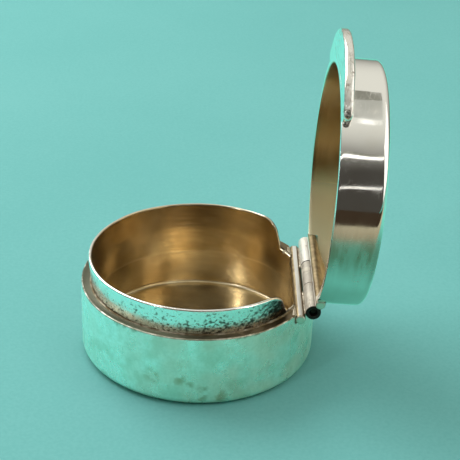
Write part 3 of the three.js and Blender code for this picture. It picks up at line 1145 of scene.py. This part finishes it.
# Left, right, front and back, height above the base, and colour.
LEVEL_CARDS = [
    ("table_edge", -300, 300, -125, -60, 0.3, (0.52, 0.475, 0.32)),
    ("table_dark", -300, 300, -1500, -125, 0.3, (0.045, 0.03, 0.018)),
    ("overhead_flag", 112, 150, -56, 130, 585, (0.46, 0.46, 0.41)),
    ("flag_far_half", 112, 150, 130, 258, 585, (0.26, 0.26, 0.215)),
    ("white_patch", 127, 144, -112, -62, 585, (1.6, 1.58, 1.5)),
]

WORLD_DARK = (0.06, 0.056, 0.048)
WORLD_BRIGHT = (0.78, 0.77, 0.69)
WORLD_TILT = math.radians(25)

# Place, aim, width, depth, power and colour of each soft light.
OVERHEAD = ((-260, 220, 330), (0, 0, 15), 380, 380, 1.5)
LEFT_WINDOW = ((-298, -308, 320), (0, 0, 8), 22, 200, 0.19)
WINDOW_IN_LID = ((356, -268, 277), (-6, 12, 1), 22, 200, 0.25, (1, 0.9, 0.72))
FILL = ((260, -160, 420), (20, 0, 0), 400, 400, 0.5)


def rectangle(left, right, front, back):
    """The corners of a rectangle, in order round it."""
    return (left, front), (right, front), (right, back), (left, back)


def make_sheet(name, corners, material):
    """A flat sheet of the stage, from its four corners in metres."""
    mesh = bpy.data.meshes.new(name)
    mesh.from_pydata(corners, [], [(0, 1, 2, 3)])
    mesh.materials.append(material)
    sheet = placed(name, mesh)
    return sheet


def make_floor(name, drop, material):
    """A wide level sheet, a little under the box."""
    half = FLOOR_HALF_WIDTH * MM
    level = cad_box[0].z - drop * MM
    return make_sheet(name, [(x, y, level) for x, y in rectangle(-half, half, -half, half)], material)


def make_floors():
    """The pale floor that the camera sees, and the deeper one that only reflections show."""
    seen = make_floor("floor", FLOOR_DROP, floor_material())
    seen.visible_glossy = False
    mirrored = make_floor("mirrored_floor", MIRRORED_DROP, mirrored_floor_material())
    only_in_reflections(mirrored)


def only_in_reflections(made):
    """Hides a piece of the stage from all but reflections."""
    made.visible_camera = False
    made.visible_diffuse = False
    made.visible_shadow = False


def make_world():
    """Soft light from all round, brighter from above and behind."""
    world = bpy.data.worlds.new("studio")
    world.use_nodes = True
    tree = world.node_tree
    tree.nodes.clear()
    direction = add(tree, "ShaderNodeTexCoord", {}).outputs["Generated"]
    axis = (0, math.sin(WORLD_TILT), math.cos(WORLD_TILT))
    product = follow("ShaderNodeVectorMath", {0: direction, 1: axis}, operation="DOT_PRODUCT")
    colour = blended(eased(product.outputs["Value"], 0.12, 0.92), WORLD_DARK, WORLD_BRIGHT)
    background = follow("ShaderNodeBackground", {"Color": colour, "Strength": 1.0}).outputs[0]
    follow("ShaderNodeOutputWorld", {"Surface": background})
    bpy.context.scene.world = world


def make_light(name, place, aim, width, depth, power, colour=(1, 1, 1)):
    """A soft rectangular light, turned to its aim."""
    lamp = bpy.data.lights.new(name, "AREA")
    lamp.shape = "RECTANGLE"
    lamp.size = width * MM
    lamp.size_y = depth * MM
    lamp.energy = power
    lamp.color = colour
    made = placed(name, lamp)
    made.location = Vector(place) * MM
    made.rotation_euler = (Vector(aim) - Vector(place)).to_track_quat("-Z", "Y").to_euler()
    return made


def light_only(light, pieces):
    """Keeps a light to these pieces, and lets nothing else block it."""
    group = bpy.data.collections.new(light.name)
    for piece in pieces:
        group.objects.link(piece)
    light.light_linking.receiver_collection = group
    light.light_linking.blocker_collection = group


def upright_corners(azimuth, elevation, wide, high):
    """The corners of a card that is square to a direction seen from the box."""
    around, up = math.radians(azimuth), math.radians(elevation)
    toward = Vector((math.sin(around) * math.cos(up), -math.cos(around) * math.cos(up), math.sin(up)))
    side = Vector((math.cos(around), math.sin(around), 0)) * math.tan(math.radians(wide / 2))
    rise = toward.cross(side.normalized()) * math.tan(math.radians(high / 2))
    middle = Vector(CARD_MIDDLE)
    return [(toward + side * a + rise * b) * CARD_DISTANCE + middle for a, b in rectangle(-1, 1, -1, 1)]


def make_card(name, corners, colour):
    """A glowing card that only reflections show."""
    material, tree = new_material(name)
    glow = add(tree, "ShaderNodeEmission", {"Color": (*colour, 1), "Strength": 1.0}).outputs[0]
    follow("ShaderNodeOutputMaterial", {"Surface": glow})
    only_in_reflections(make_sheet(name, [corner * MM for corner in corners], material))


def make_cards():
    """The cards that stand in for what surrounds the box."""
    for name, azimuth, elevation, wide, high, colour in UPRIGHT_CARDS:
        make_card(name, upright_corners(azimuth, elevation, wide, high), colour)
    for name, left, right, front, back, level, colour in LEVEL_CARDS:
        corners = [Vector((x, y, level)) for x, y in rectangle(left, right, front, back)]
        make_card(name, corners, colour)


def make_camera():
    """The camera at the photograph's viewing angle, aimed beside and above the middle of the base."""
    flat = math.cos(CAMERA_ELEVATION)
    back_x = math.sin(CAMERA_AZIMUTH) * flat
    back_y = -math.cos(CAMERA_AZIMUTH) * flat
    back = Vector((back_x, back_y, math.sin(CAMERA_ELEVATION)))
    level_right = Vector((0, 0, 1)).cross(back).normalized()
    level_up = back.cross(level_right)
    right = level_right * math.cos(CAMERA_ROLL) + level_up * math.sin(CAMERA_ROLL)
    up = back.cross(right)
    place = (right * AIM_RIGHT + up * AIM_UP + back * CAMERA_DISTANCE) * MM
    camera = bpy.data.cameras.new("camera")
    camera.lens = CAMERA_LENS
    camera.clip_start = MM
    camera.clip_end = 10
    made = placed("camera", camera)
    made.matrix_world = Matrix((
        (right.x, up.x, back.x, place.x),
        (right.y, up.y, back.y, place.y),
        (right.z, up.z, back.z, place.z),
        (0, 0, 0, 1),
    ))
    bpy.context.scene.camera = made


# -------- the scene

frosted = fitting_material("frosted_fitting", FROSTED_SILVER, 0.5, 0.42, 81, 0.6)
worn = fitting_material("worn_fitting", WORN_SILVER, 0.7, 0.45, 86, 0.6)
polished = fitting_material("polished_fitting", HANDLED_SILVER, 0.6, 0.13, 91)
dark = fitting_material("dark_fitting", TARNISH_AND_SHADE, 0.9, 0.4, 101)
brown = fitting_material("brown_fitting", LEDGE_BROWN, 0.5, 0.45, 106)
solder = fitting_material("solder", SOLDER_GREY, 0.9, 0.36, 111)
gilt_plate = gilt_fitting_material()
wire = bearer_material()

cup = make_cup(cup_material())
liner = make_liner(liner_material())
make_root_solder(brown)
make_plate("body_plate", "body", BODY_RADIUS, solder, "body_hinge_plate")
make_bearer("body_bearer_wire", "body", wire, "body_hinge_bearer")
make_solder("front_solder", "body", solder, body_seam(-1), WIRE_BEAD)
make_solder("rear_solder", "body", solder, body_seam(1), WIRE_BEAD)
make_solder("front_barrel_solder", "body", solder, barrel_seam(-9.0, -3.1), BARREL_BEAD)
make_solder("rear_barrel_solder", "body", solder, barrel_seam(4.0, 10.0), BARREL_BEAD)
make_knuckle("front_barrel_knuckle", "body", worn, "front_body_knuckle", 11, 1.0, 0.4)
make_knuckle("rear_barrel_knuckle", "body", frosted, "rear_body_knuckle", 12, 0.9, 0.7)
make_pin(dark)
make_lid(lid_material())
make_plate("lid_plate", "lid", LID_RADIUS, gilt_plate, "lid_hinge_plate")
make_bearer("lid_bearer_wire", "lid", wire, "lid_hinge_bearer")
make_knuckle("lid_barrel_knuckle", "lid", worn, "lid_knuckle", 13, 0.4, 0.9)
make_solder("lid_solder", "lid", gilt_plate, lid_seam(), LID_BEAD)
make_tab(polished)

make_floors()
make_world()
make_light("overhead", *OVERHEAD)
make_light("left_window", *LEFT_WINDOW)
# The window as the gilt lid would mirror it down into the cup.
light_only(make_light("window_in_lid", *WINDOW_IN_LID), [cup, liner])
make_light("fill", *FILL).visible_glossy = False
make_cards()
make_camera()

bpy.context.scene.view_settings.view_transform = "Standard"

bpy.context.view_layer.update()
